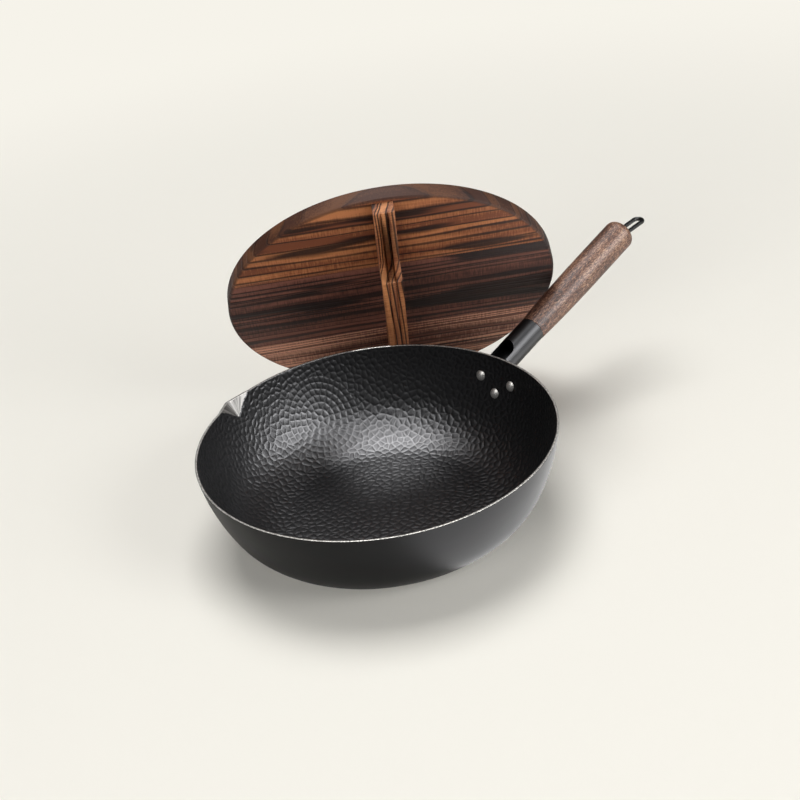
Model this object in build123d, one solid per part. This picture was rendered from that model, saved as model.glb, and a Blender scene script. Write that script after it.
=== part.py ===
from build123d import *
import os
from math import cos, hypot, radians, sin, sqrt, tan

# Carbon steel wok with a riveted socket handle, a wooden grip, a hanging loop and a
# wooden lid. The bowl stands on its flat base at the origin, the handle runs out along
# +X, and the lid stands on its edge behind the bowl and leans on the rim.
# Lengths are in millimetres and angles in degrees.

os.makedirs("parts", exist_ok=True)

# Shared clearances
overrun = 6.0  # how far a cut runs past what it cuts
seat_gap = 0.05  # between pieces that are pressed, riveted or screwed together
rest_gap = 0.3  # between a loose piece and what it rests on

# Bowl: flat base, rounded corner and a steep wall that bows outwards
rim_radius = 160.0
bowl_height = 86.0
base_inset = 71.0  # from the rim in to the edge of the flat base
corner_radius = 61.5
corner_turn = 64.3
sheet = 1.8

# Pouring fold in the rim
spout_azimuth = 104.25
spout_width = 42.0
spout_depth = 17.0
spout_reach = 8.0
spout_drop = 3.0

# Handle axis: where the grip meets the socket, and how steeply it rises
joint_distance = 49.2  # out from the rim
joint_rise = 8.2  # above the rim
handle_rise = 18.1

# Socket tube, its open scoop beside the rim and its rivet plate
socket_diameter = 25.5
socket_sheet = 1.6
scoop_width = 19.0
scoop_end = 30.2  # from the grip back to the closed end of the scoop
plate_sheet = 2.0
plate_margin = 9.0  # round each rivet

# Rivets
rivet_spread = 38.0
upper_rivet_drop = 22.3  # below the rim
lower_rivet_drop = 34.8
shank_diameter = 5.0
head_diameter = 10.0
head_height = 2.8
tail_diameter = 9.0
tail_height = 2.0

# Grip: a turned handle with a spigot in the socket and a recess for the loop
grip_length = 148.0
grip_front_diameter = 26.0
grip_diameter = 30.5
swell_share = 0.6  # of the length, where the full diameter is reached
mid_swell_share = 0.25
mid_swell_diameter = 29.0
grip_end_round = 7.0
grip_front_bevel = 0.6
spigot_length = 18.0

# Tie rod, its eye and the plug that it screws into
rod_diameter = 6.0
rod_clearance = 0.2
plug_length = 6.0
rod_overlength = 3.0  # past the plug
eye_hole_diameter = 5.6
eye_ring = 2.0
eye_thickness = 3.2
eye_depth = 5.5  # from the end of the grip to the middle of the eye
eye_space = 1.2  # behind the eye

# Hanging loop
loop_wire = 4.2
loop_spacing = 9.8
loop_length = 35.0
loop_droop = 13.0
loop_split = 0.8

# Lid: three boards and a bar
lid_clearance = 1.7  # all round, when the lid is set inside the rim
lid_thickness = 15.0
lid_bevel = 1.5
board_joint = 55.0  # from the middle of the lid to each joint
dowel_diameter = 6.0
dowel_length = 40.0
dowel_place = 85.0

# Lid bar
bar_width = 19.0
bar_inset = 4.0  # from the edge of the lid
bar_height = 12.0
hold_height = 30.0
hold_half_length = 78.0
hold_slope = 9.0
arch_half_length = 52.0
arch_height = 16.0
arch_round = 7.0
flute_width = 1.2
flute_depth = 1.0
peg_diameter = 7.0
inner_peg_margin = 14.0  # beyond the arch
outer_peg_inset = 34.5  # from the edge of the lid
peg_in_bar = 8.0
peg_in_board = 10.0

# Where the lid stands, seen along the view that looks over the wok at it
view_turn = 51.2  # from the handle round to the line of sight
lid_lean = 32.0  # of the top of the lid towards the bowl
lid_offset_share = 0.225  # of the rim's radius, from that line to the middle of the lid


# Sizes that follow the rim
base_radius = rim_radius - base_inset
joint_reach = rim_radius + joint_distance
joint_height = bowl_height + joint_rise
upper_rivet_height = bowl_height - upper_rivet_drop
lower_rivet_height = bowl_height - lower_rivet_drop
lid_radius = rim_radius - sheet - lid_clearance
lid_offset = rim_radius * lid_offset_share
peg_places = (arch_half_length + inner_peg_margin, lid_radius - outer_peg_inset)

# The wall is one arc, tangent to the corner arc at its foot
turn = radians(corner_turn)
foot_radius = base_radius + corner_radius * sin(turn)
foot_height = corner_radius * (1 - cos(turn))
wall_rise = bowl_height - foot_height
wall_spread = rim_radius - foot_radius
wall_arc = (wall_rise**2 + wall_spread**2) / (2 * (wall_rise * cos(turn) - wall_spread * sin(turn)))
wall_middle_radius = foot_radius - wall_arc * sin(turn)
wall_middle_height = foot_height + wall_arc * cos(turn)


def wall_radius(height, inset=0):
    """Radius of the wall at a height, with the outer surface moved in by inset."""
    return wall_middle_radius + sqrt((wall_arc - inset) ** 2 - (height - wall_middle_height) ** 2)


def turned_bowl(inset, top):
    """All that lies inside the outer surface moved in by inset, up to the height top."""
    foot_reach = corner_radius - inset
    start = (base_radius, inset)
    foot = (base_radius + foot_reach * sin(turn), corner_radius - foot_reach * cos(turn))
    brim = (wall_radius(top, inset), top)
    base = Line((0, inset), start)
    corner = TangentArc(start, foot, tangent=(1, 0))
    wall = TangentArc(foot, brim, tangent=corner % 1)
    mouth = Line(brim, (0, top))
    middle = Line((0, top), (0, inset))
    outline = make_face([base, corner, wall, mouth, middle])
    return revolve(Plane.XZ * outline, Axis.Z)


def spout_points(skin):
    """Tip, two corners and lip of the fold, moved out by skin square to its facets."""
    tip_height = bowl_height - spout_depth
    tip = Vector(wall_radius(tip_height, sheet), 0, tip_height)
    brim = wall_radius(bowl_height, sheet)
    half = spout_width / 2
    corner = Vector(sqrt(brim**2 - half**2), half, bowl_height)
    lip = Vector(brim + spout_reach, 0, bowl_height - spout_drop)
    facet_out = (corner - tip).cross(lip - tip).normalized()
    valley = (lip - tip).normalized()
    valley_out = Vector(valley.Z, 0, -valley.X)
    shift = valley_out * (skin / facet_out.dot(valley_out))
    left = corner + facet_out * skin
    right = Vector(left.X, -left.Y, left.Z)
    return [tip + shift, left, right, lip + shift]


def spout_wedge(skin):
    """The hollow of the fold, with a skin under its facets, carried up past the rim."""
    points = spout_points(skin)
    top = bowl_height + overrun
    raised = [Vector(point.X, point.Y, top) for point in points[1:]]
    return ConvexPolyhedron(points + raised)


def make_bowl():
    """Pressed sheet with its pouring fold and its rivet holes."""
    spout_turn = Rot(Z=spout_azimuth)
    filled = turned_bowl(0, bowl_height) + spout_turn * spout_wedge(sheet)
    hollow = turned_bowl(sheet, bowl_height + 2 * overrun) + spout_turn * spout_wedge(0)
    shell = filled - hollow
    shell = split(shell, bisect_by=Plane.XY.offset(bowl_height), keep=Keep.BOTTOM)
    tip, left, right, lip = spout_points(0)
    lip_plane = Plane(origin=lip, z_dir=(right - left).cross(lip - left))
    shell = split(shell, bisect_by=Plane(spout_turn * lip_plane.location), keep=Keep.BOTTOM)
    for place in rivet_places:
        shell -= rivet_hole(place)
    return shell


# Rivets, square to the wall
rivet_places = [
    (-rivet_spread / 2, upper_rivet_height),
    (rivet_spread / 2, upper_rivet_height),
    (0, lower_rivet_height),
]
rivet_names = ["rivet_upper_right", "rivet_upper_left", "rivet_lower"]


def rivet_plane(place):
    """Plane on the outer surface of the wall, looking straight out of it."""
    side, height = place
    radius = wall_radius(height)
    along = sqrt(radius**2 - side**2)
    out = (radius - wall_middle_radius) / wall_arc
    down = (height - wall_middle_height) / wall_arc
    return Plane(origin=(along, side, height), z_dir=(out * along / radius, out * side / radius, down))


def rivet_hole(place):
    """Hole for a rivet's shank through the wall and the plate."""
    hole = Cylinder(shank_diameter / 2 + seat_gap, 2 * (sheet + plate_sheet + overrun))
    return rivet_plane(place).location * hole


def domed_head(diameter, height):
    """Half outline of a domed head whose flat side is at zero."""
    half = diameter / 2
    arc_radius = (half**2 + height**2) / (2 * height)
    across = sqrt(arc_radius**2 - (arc_radius - height / 2) ** 2)
    flat = Line((0, 0), (half, 0))
    dome = ThreePointArc((half, 0), (across, height / 2), (0, height))
    back = Line((0, height), (0, 0))
    return Plane.XZ * make_face([flat, dome, back])


def make_rivet(place):
    """Domed head inside the wall, shank, and a flatter head outside the plate."""
    side, height = place
    head_sag = (head_diameter / 2) ** 2 / (2 * wall_radius(height, sheet))
    inner_seat = -(sheet + head_sag + seat_gap)
    outer_seat = plate_sheet + 2 * seat_gap
    head = Rot(X=180) * revolve(domed_head(head_diameter, head_height), Axis.Z)
    tail = revolve(domed_head(tail_diameter, tail_height), Axis.Z)
    shank_length = outer_seat - inner_seat
    shank = Cylinder(shank_diameter / 2, shank_length, align=(Align.CENTER, Align.CENTER, Align.MIN))
    rivet = Pos(Z=inner_seat) * (head + shank) + Pos(Z=outer_seat) * tail
    return rivet_plane(place).location * rivet


# The handle's own plane: x across, y up, z along the axis, from the joint of grip and socket
rise = radians(handle_rise)
handle_plane = Plane(origin=(joint_reach, 0, joint_height), x_dir=(0, 1, 0), z_dir=(cos(rise), 0, sin(rise)))
handle_place = handle_plane.location
socket_reach = (joint_reach - wall_radius(lower_rivet_height)) / cos(rise) + socket_diameter
bore_radius = socket_diameter / 2 - socket_sheet
plug_start = -(spigot_length + plug_length)
eye_place = grip_length - eye_depth
eye_radius = eye_hole_diameter / 2 + eye_ring


def make_socket():
    """Tube against the wall, opened as a scoop beside the rim, on a riveted plate."""
    low = (Align.CENTER, Align.CENTER, Align.MAX)
    tube = handle_place * Cylinder(socket_diameter / 2, socket_reach, align=low)
    bore = handle_place * Cylinder(bore_radius, socket_reach + 2 * overrun, align=low)
    bore = Pos(overrun * cos(rise), 0, overrun * sin(rise)) * bore
    scoop_round = scoop_width / 2
    scoop_middle = -(scoop_end + scoop_round)
    straight = socket_reach + scoop_middle
    slot = Pos(0, scoop_middle) * Circle(scoop_round)
    slot += Pos(0, scoop_middle - straight / 2) * Rectangle(scoop_width, straight)
    cut = extrude(Plane.XZ * slot, -socket_diameter)
    scoop = handle_place * cut
    rounds = [Pos(side, height) * Circle(plate_margin) for side, height in rivet_places]
    outline = make_hull(Sketch(children=rounds).edges())
    block = extrude(Plane.YZ * outline, rim_radius + plate_sheet + overrun)
    top = bowl_height + socket_diameter
    plate = block & (turned_bowl(-(seat_gap + plate_sheet), top) - turned_bowl(-seat_gap, top))
    for place in rivet_places:
        plate -= rivet_hole(place)
    tube = tube - turned_bowl(-seat_gap, top) - bore - scoop
    return tube + (plate - bore)


def make_plug():
    """Threaded disc fixed in the socket tube behind the grip's spigot."""
    disc = Cylinder(bore_radius - seat_gap, plug_length, align=(Align.CENTER, Align.CENTER, Align.MIN))
    hole = Cylinder(rod_diameter / 2 + seat_gap, 2 * plug_length + overrun)
    return handle_place * Pos(Z=plug_start) * (disc - hole)


def loop_recess_radius():
    """Recess whose lip stops the loop at its droop."""
    drop = eye_depth * tan(radians(loop_droop))
    leg_half = loop_wire / 2 / cos(radians(loop_droop))
    return hypot(loop_spacing / 2, drop) + leg_half + rest_gap


def make_grip():
    """Turned wooden grip with spigot, through bore and end recess."""
    front = grip_front_diameter / 2
    full = grip_diameter / 2
    spigot = bore_radius - seat_gap
    bore = rod_diameter / 2 + rod_clearance
    recess = loop_recess_radius()
    recess_floor = eye_place - eye_radius - eye_space
    end_straight = grip_length - grip_end_round
    end_flat = full - grip_end_round
    mid_point = (mid_swell_diameter / 2, grip_length * mid_swell_share)
    full_point = (full, grip_length * swell_share)
    outline = [
        Line((bore, -spigot_length), (spigot, -spigot_length)),
        Line((spigot, -spigot_length), (spigot, 0)),
        Line((spigot, 0), (front - grip_front_bevel, 0)),
        Line((front - grip_front_bevel, 0), (front, grip_front_bevel)),
        ThreePointArc((front, grip_front_bevel), mid_point, full_point),
        Line(full_point, (full, end_straight)),
        RadiusArc((full, end_straight), (end_flat, grip_length), -grip_end_round),
        Line((end_flat, grip_length), (recess, grip_length)),
        Line((recess, grip_length), (recess, recess_floor)),
        Line((recess, recess_floor), (bore, recess_floor)),
        Line((bore, recess_floor), (bore, -spigot_length)),
    ]
    return handle_place * revolve(Plane.XZ * make_face(outline), Axis.Z)


def make_tie_rod():
    """Rod from the plug to the eye that holds the loop."""
    start = plug_start - rod_overlength
    length = eye_place - eye_hole_diameter / 2 - eye_ring / 2 - start
    rod = Pos(Z=start) * Cylinder(rod_diameter / 2, length, align=(Align.CENTER, Align.CENTER, Align.MIN))
    ring = Cylinder(eye_radius, eye_thickness) - Cylinder(eye_hole_diameter / 2, eye_thickness + overrun)
    return handle_place * (rod + Pos(Z=eye_place) * Rot(Y=90) * ring)


def make_loop():
    """Wire link, split beside its far bend, drooping from the eye."""
    half = loop_spacing / 2
    leg_length = loop_length - 2 * half
    wire = Circle(loop_wire / 2)
    bend = revolve(Pos(half, 0) * wire, Axis.Y, revolution_arc=180)
    far_bend = Pos(0, 0, half + leg_length) * Rot(Y=180) * bend
    near_bend = Pos(0, 0, half) * bend
    leg = Cylinder(loop_wire / 2, leg_length, align=(Align.CENTER, Align.CENTER, Align.MIN))
    link = near_bend + far_bend + Pos(half, 0, half) * leg + Pos(-half, 0, half) * leg
    gap = Pos(half, 0, half + leg_length - loop_split) * Box(2 * loop_wire, 2 * loop_wire, loop_split)
    return handle_place * Pos(Z=eye_place) * Rot(X=loop_droop) * (link - gap)


# Lid in its own plane: x along the boards, y up along the bar, z out of the bar's side
def make_disc():
    """The round of the lid, beveled on both edges."""
    disc = Cylinder(lid_radius, lid_thickness, align=(Align.CENTER, Align.CENTER, Align.MAX))
    return chamfer(disc.edges().filter_by(GeomType.CIRCLE), lid_bevel)


def dowel_set(growth):
    """Four dowels across the two joints, grown by a clearance."""
    dowel = Rot(X=90) * Cylinder(dowel_diameter / 2 + growth, dowel_length + 2 * growth)
    places = [(x, y) for x in (-dowel_place, dowel_place) for y in (-board_joint, board_joint)]
    return [Pos(x, y, -lid_thickness / 2) * dowel for x, y in places]


def peg_set(growth):
    """Four pegs that hold the bar on the boards, grown by a clearance."""
    length = peg_in_bar + peg_in_board + 2 * growth
    peg = Cylinder(peg_diameter / 2 + growth, length)
    middle = (peg_in_bar - peg_in_board) / 2
    return [Pos(0, sign * place, middle) * peg for sign in (-1, 1) for place in peg_places]


def make_board(low, high):
    """One board of the lid between two heights."""
    strip = Pos(0, (low + high) / 2, -lid_thickness / 2) * Box(2 * lid_radius, high - low, lid_thickness)
    board = make_disc() & strip
    for pin in dowel_set(seat_gap) + peg_set(seat_gap):
        board -= pin
    return board


def bar_side():
    """Side outline of the bar: low ends, a raised hold and the finger arch below it."""
    end = lid_radius - bar_inset
    top_half = hold_half_length - hold_slope
    points = [
        (-end, 0),
        (-end, bar_height),
        (-hold_half_length, bar_height),
        (-top_half, hold_height),
        (top_half, hold_height),
        (hold_half_length, bar_height),
        (end, bar_height),
        (end, 0),
    ]
    side = make_face(Polyline(*points, close=True))
    arch = Pos(0, arch_height / 2) * Rectangle(2 * arch_half_length, arch_height)
    arch_tops = arch.vertices().sort_by(Axis.Y)[-2:]
    arch = fillet(arch_tops, arch_round)
    return side - arch


def make_bar():
    """Bar across the boards with two flutes along its top."""
    side = Sketch() + bar_side()
    bar = extrude(Plane.YZ * side, bar_width / 2, both=True)
    skin = side - Pos(0, -flute_depth) * side
    flute = extrude(Plane.YZ * skin, flute_width / 2, both=True)
    for place in (-bar_width / 6, bar_width / 6):
        bar -= Pos(place, 0, 0) * flute
    for peg in peg_set(seat_gap):
        bar -= peg
    return bar


# The lid stands on the lower end of its bar, and its hold rests against the rim
lean = radians(lid_lean)
lid_middle_height = (lid_radius - bar_inset) * cos(lean) + bar_height * sin(lean)
touch_side = lid_offset - bar_width / 2
touch_reach = sqrt(rim_radius**2 - touch_side**2)
ridge_distance = hold_height + rest_gap + (bowl_height - lid_middle_height) * sin(lean)
lid_middle_reach = touch_reach + ridge_distance / cos(lean)
lid_plane = Plane(
    origin=(lid_offset, lid_middle_reach, lid_middle_height),
    x_dir=(1, 0, 0),
    z_dir=(0, -cos(lean), -sin(lean)),
)
lid_place = Rot(Z=view_turn - 90) * lid_plane.location

parts = {
    "bowl": make_bowl(),
    "handle_socket": make_socket(),
    "socket_plug": make_plug(),
    "grip": make_grip(),
    "tie_rod": make_tie_rod(),
    "hanging_loop": make_loop(),
    "lid_board_upper": lid_place * make_board(board_joint, lid_radius),
    "lid_board_middle": lid_place * make_board(-board_joint, board_joint),
    "lid_board_lower": lid_place * make_board(-lid_radius, -board_joint),
    "lid_bar": lid_place * make_bar(),
    "lid_dowels": lid_place * Compound(children=dowel_set(0)),
    "bar_pegs": lid_place * Compound(children=peg_set(0)),
}
for name, place in zip(rivet_names, rivet_places):
    parts[name] = make_rivet(place)

for name, piece in parts.items():
    export_step(piece, f"parts/{name}.step")
    print(name, round(piece.volume), piece.bounding_box())
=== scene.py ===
# %% [markdown]
# # A carbon steel wok with a wooden grip and a charred wooden lid
# The wok is one pressed sheet of carbon steel: hammered inside, smooth outside, ground bare
# along the rim and in the pouring fold. A steel socket is riveted to it and carries a turned
# grip. The lid is three charred fir boards under a bar.
# Every place and size could be measured again from a picture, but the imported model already
# has them, so the lesson starts by loading it.

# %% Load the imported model
from math import atan2, cos, pi, radians, sin, sqrt

import bmesh
import bpy
import numpy as np
from mathutils import Matrix, Vector


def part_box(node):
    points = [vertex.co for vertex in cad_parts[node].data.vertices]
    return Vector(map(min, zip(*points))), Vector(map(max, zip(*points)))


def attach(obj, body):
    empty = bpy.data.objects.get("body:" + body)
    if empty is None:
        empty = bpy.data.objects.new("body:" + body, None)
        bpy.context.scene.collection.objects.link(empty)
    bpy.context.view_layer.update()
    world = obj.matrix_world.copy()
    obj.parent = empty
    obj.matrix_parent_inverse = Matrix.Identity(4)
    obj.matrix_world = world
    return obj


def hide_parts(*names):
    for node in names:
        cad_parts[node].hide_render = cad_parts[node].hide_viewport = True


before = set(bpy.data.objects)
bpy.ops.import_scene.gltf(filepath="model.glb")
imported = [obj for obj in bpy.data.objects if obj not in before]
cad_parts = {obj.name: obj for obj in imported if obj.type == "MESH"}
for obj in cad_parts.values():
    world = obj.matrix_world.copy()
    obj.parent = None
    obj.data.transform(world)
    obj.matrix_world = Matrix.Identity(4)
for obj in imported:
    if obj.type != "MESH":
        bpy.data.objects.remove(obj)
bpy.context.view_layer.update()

mm = 0.001

# %% [markdown]
# ## Small helpers
# Colours are written as the hex values that a paint chart gives, and Blender wants linear
# light, so one function turns them. Node trees repeat three moves: make a node, set it, link
# it. They could be written out each time, but one function that does all three keeps a tree
# as short as a recipe, and it serves shader trees and Geometry Nodes trees alike.

# %% Colour and node helpers


def colour(code):
    """Linear RGBA of an sRGB hex code."""
    parts = [int(code[i : i + 2], 16) / 255 for i in (1, 3, 5)]
    linear = [v / 12.92 if v <= 0.04045 else ((v + 0.055) / 1.055) ** 2.4 for v in parts]
    return (*linear, 1.0)


def node(tree, kind, inputs=None, stops=None, **settings):
    """Add a node with its settings, its colour stops, and its input values or links."""
    made = tree.nodes.new(kind)
    for name, value in settings.items():
        setattr(made, name, value)
    for socket, value in (inputs or {}).items():
        if isinstance(value, bpy.types.NodeSocket):
            tree.links.new(value, made.inputs[socket])
        else:
            made.inputs[socket].default_value = value
    for number, (place, code) in enumerate(stops or []):
        elements = made.color_ramp.elements
        stop = elements[number] if number < len(elements) else elements.new(place)
        stop.position = place
        stop.color = colour(code)
    return made


def new_material(name):
    """An empty material with a Principled shader, ready for its pattern."""
    material = bpy.data.materials.new(name)
    material.use_nodes = True
    tree = material.node_tree
    tree.nodes.clear()
    shader = node(tree, "ShaderNodeBsdfPrincipled")
    node(tree, "ShaderNodeOutputMaterial", {"Surface": shader.outputs["BSDF"]})
    return material, tree, shader


def finish_material(tree, shader, links, **values):
    """Link a pattern's results to the shader, and set the rest as constants on its sockets."""
    for socket, result in links.items():
        tree.links.new(result, shader.inputs[socket])
    for socket, value in values.items():
        shader.inputs[socket.replace("_", " ")].default_value = value


def dress(node_name, material):
    """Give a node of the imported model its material."""
    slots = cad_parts[node_name].data.materials
    slots.clear()
    slots.append(material)


print("the middle grey #808080 is %.3f in linear light" % colour("#808080")[0])

# %% [markdown]
# ## Where the lid and the handle lie
# Wood grain has to run along its own board, and both the lid and the handle are tilted. The
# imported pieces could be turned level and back, but every finished piece has to stay unturned
# in its place. So each gets a frame, a turn and a middle, worked out once here. A Mapping
# node of the Texture kind undoes that turn, and a pattern can then be written along the
# board instead of along the room.

# %% Frames of the lid and the handle
view_turn = radians(51.2)
lid_lean = radians(32.0)
handle_rise = radians(18.1)
board_thickness = 15 * mm

to_room = Matrix.Rotation(view_turn - pi / 2, 3, "Z")
along_bar = Vector((0, -sin(lid_lean), cos(lid_lean)))
off_face = Vector((0, -cos(lid_lean), -sin(lid_lean)))
lid_turn = to_room @ Matrix((Vector((1, 0, 0)), along_bar, off_face)).transposed()
board_low, board_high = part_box("lid_board_middle")
lid_middle = (board_low + board_high) / 2 + lid_turn @ Vector((0, 0, board_thickness / 2))

grip_low, grip_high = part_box("grip")
handle_turn = Matrix.Rotation(-handle_rise, 3, "Y")
grip_middle = (grip_low + grip_high) / 2
print("lid middle (mm):", [round(v / mm, 1) for v in lid_middle])
print("grip middle (mm):", [round(v / mm, 1) for v in grip_middle])


def along_piece(tree, turn, middle):
    """Coordinates in metres in a piece's own frame, from the piece's Object coordinates."""
    place = node(tree, "ShaderNodeTexCoord").outputs["Object"]
    settings = {"Vector": place, "Location": middle, "Rotation": turn.to_euler()}
    return node(tree, "ShaderNodeMapping", settings, vector_type="TEXTURE").outputs["Vector"]


# %% [markdown]
# ## Hammer marks
# A hammer has left a net of shallow marks inside the pan, each about 6 mm across, and the
# thin ridges between them catch the light first. Each mark could be sculpted, but there are
# thousands, so a rule draws them. Most are scattered, which is a Voronoi pattern. Round one
# spot on the far wall the smith worked in rings, which takes a little arithmetic: round the
# distance to a ring, then divide that ring into equal marks. Those sums stand in a table,
# one Math node to a line, where a word is the result of an earlier line. Both patterns read
# a flat plan of the bowl that its mesh carries as an attribute, so the marks keep their size
# up the wall.

# %% Ridges between the marks
mark_size = 6.4 * mm
mark_depth = 0.3 * mm
mark_scatter = 0.85
mark_wander = 2.2 * mm
wander_size = mm / 0.12  # the bends in the net are about 8 mm long
ring_spot = (46.0 * mm, 145.0 * mm, 0.0)  # on the bowl's plan, up the wall left of the lid's bar
ring_count = 6
ring_stagger = 0.37  # how far each ring's marks are shifted from the last ring's, in marks

ring_sums = (
    ("reach", "DIVIDE", "length", "size"),
    ("ring", "ROUND", "reach"),
    ("off the ring", "SUBTRACT", "reach", "ring"),
    ("off the ring", "ABSOLUTE", "off the ring"),
    ("across", "SUBTRACT", 0.5, "off the ring"),
    ("count", "MULTIPLY", "ring", 2 * pi),
    ("count", "ROUND", "count"),
    ("count", "MAXIMUM", 1.0, "count"),
    ("turn", "ARCTAN2", "y", "x"),
    ("turn", "DIVIDE", "turn", 2 * pi),
    ("shift", "MULTIPLY", "ring", ring_stagger),
    ("way round", "MULTIPLY_ADD", "turn", "count", "shift"),
    ("way round", "FRACT", "way round"),
    ("off the middle", "SUBTRACT", "way round", 0.5),
    ("off the middle", "ABSOLUTE", "off the middle"),
    ("to the edge", "SUBTRACT", 0.5, "off the middle"),
    ("arc", "MULTIPLY", "reach", 2 * pi),
    ("arc", "DIVIDE", "arc", "count"),
    ("middle mark", "LESS_THAN", "ring", 0.5),
    ("along", "MULTIPLY_ADD", "to the edge", "arc", "middle mark"),
    ("ringed", "MINIMUM", "across", "along"),
    ("within rings", "LESS_THAN", "reach", ring_count + 0.5),
)


def mark_ridges(tree, plan, size):
    """Distance to the nearest ridge in marks: scattered marks, set in rings round one spot."""
    wander = {"Vector": plan, "Scale": 1 / wander_size, "Detail": 1.0}
    bent = node(tree, "ShaderNodeTexNoise", wander).outputs["Color"]
    for operation, values in (
        ("SUBTRACT", {1: (0.5, 0.5, 0.5)}),
        ("SCALE", {"Scale": mark_wander}),
        ("ADD", {1: plan}),
    ):
        bent = node(tree, "ShaderNodeVectorMath", {0: bent, **values}, operation=operation).outputs[0]
    per_metre = node(tree, "ShaderNodeMath", {0: 1.0, 1: size}, operation="DIVIDE").outputs[0]
    net = {"Vector": bent, "Scale": per_metre, "Randomness": mark_scatter}
    cells = node(tree, "ShaderNodeTexVoronoi", net, voronoi_dimensions="2D", feature="DISTANCE_TO_EDGE")
    offset = node(tree, "ShaderNodeVectorMath", {0: bent, 1: ring_spot}, operation="SUBTRACT").outputs[0]
    parts = node(tree, "ShaderNodeSeparateXYZ", {"Vector": offset}).outputs
    length = node(tree, "ShaderNodeVectorMath", {0: offset}, operation="LENGTH").outputs["Value"]
    known = {"x": parts["X"], "y": parts["Y"], "length": length, "size": size}
    for result, operation, *values in ring_sums:
        inputs = {number: known.get(value, value) for number, value in enumerate(values)}
        known[result] = node(tree, "ShaderNodeMath", inputs, operation=operation).outputs[0]
    choice = {"Factor": known["within rings"], 2: cells.outputs["Distance"], 3: known["ringed"]}
    return node(tree, "ShaderNodeMix", choice).outputs[0]


print("marks %.1f mm across, %d rings round one spot" % (mark_size / mm, ring_count))

# %% [markdown]
# ## Blackened steel
# Carbon steel is heated until it turns blue-black, then oiled: a dark skin with a satin
# sheen. It could be a black paint, but the skin is a film on bare metal and mirrors bright
# things in its own dark grey, so the shader is a metal with a dark colour. Inside, use has
# rubbed the ridges smoother, and their colour is a little lighter as a painted highlight, so
# colour, roughness and bump all follow them. Outside, the skin is only a little cloudy.

# %% Hammered and smooth black steel
ridge_width = 0.3  # in marks, from the ridge to the plain skin
ridge_bump = mark_depth * 0.7  # less than the mark's depth, because the mesh has the marks too
plain_roughness = 0.38
rubbed_roughness = 0.32
grain_dulling = 0.1
grain_relief = 0.12  # of a ridge's height
skin_grain = mm / 1.4  # 0.7 mm
skin_grit = mm / 1.1  # 0.9 mm
skin_cloud = 50 * mm
grit_depth = 0.03 * mm
cloud_dark, cloud_pale = 0.8, 1.25  # shares of the steel's own value
cloud_gloss, cloud_dulling = 0.06, 0.08  # off and on the steel's own roughness


def hammered_steel():
    """Blackened carbon steel with hammer marks: dark skin, rubbed ridges with a painted highlight."""
    material, tree, shader = new_material("blackened carbon steel, hammered")
    plan = node(tree, "ShaderNodeAttribute", attribute_name="plan").outputs["Vector"]
    ridges = mark_ridges(tree, plan, mark_size)
    near = {"Value": ridges, "From Max": ridge_width, "To Min": 1.0, "To Max": 0.0}
    ridge = node(tree, "ShaderNodeMapRange", near, interpolation_type="SMOOTHSTEP").outputs[0]
    grain = node(
        tree, "ShaderNodeTexNoise", {"Vector": plan, "Scale": 1 / skin_grain, "Detail": 3.0}
    ).outputs["Fac"]
    # painted highlight: the ridges are a lighter grey than the skin between them
    ridge_highlight_shades = {"Factor": ridge, 6: colour("#434344"), 7: colour("#4e4e4f")}
    skin = node(tree, "ShaderNodeMix", ridge_highlight_shades, data_type="RGBA").outputs[2]
    rubbing = {"Value": ridge, "To Min": plain_roughness, "To Max": rubbed_roughness}
    rubbed = node(tree, "ShaderNodeMapRange", rubbing).outputs[0]
    dulled = {0: grain, 1: grain_dulling, 2: rubbed}
    uneven = node(tree, "ShaderNodeMath", dulled, operation="MULTIPLY_ADD").outputs[0]
    raised = {0: grain, 1: grain_relief, 2: ridge}
    height = node(tree, "ShaderNodeMath", raised, operation="MULTIPLY_ADD").outputs[0]
    bump = node(tree, "ShaderNodeBump", {"Height": height, "Distance": ridge_bump, "Strength": 0.8})
    links = {"Base Color": skin, "Roughness": uneven, "Normal": bump.outputs["Normal"]}
    finish_material(tree, shader, links, Metallic=1.0)
    return material


def smooth_steel(name, code, roughness, metallic):
    """Satin dark steel with the faint cloudiness of an oiled skin."""
    material, tree, shader = new_material(name)
    place = node(tree, "ShaderNodeTexCoord").outputs["Object"]
    cloud = node(
        tree, "ShaderNodeTexNoise", {"Vector": place, "Scale": 1 / skin_cloud, "Detail": 4.0}
    ).outputs["Fac"]
    grit = node(
        tree, "ShaderNodeTexNoise", {"Vector": place, "Scale": 1 / skin_grit, "Detail": 2.0}
    ).outputs["Fac"]
    clouded = {"Value": cloud, "To Min": cloud_dark, "To Max": cloud_pale}
    value = node(tree, "ShaderNodeMapRange", clouded).outputs[0]
    tone = node(tree, "ShaderNodeHueSaturation", {"Color": colour(code), "Value": value}).outputs["Color"]
    dulled = {"Value": cloud, "To Min": roughness - cloud_gloss, "To Max": roughness + cloud_dulling}
    rough = node(tree, "ShaderNodeMapRange", dulled).outputs[0]
    bump = node(tree, "ShaderNodeBump", {"Height": grit, "Distance": grit_depth, "Strength": 0.5})
    links = {"Base Color": tone, "Roughness": rough, "Normal": bump.outputs["Normal"]}
    finish_material(tree, shader, links, Metallic=metallic)
    return material


steel_hammered = hammered_steel()
steel_outside = smooth_steel("blackened carbon steel, smooth", "#2a2a2b", 0.52, 1.0)
print("pan steels:", steel_hammered.name, "|", steel_outside.name)
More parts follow.
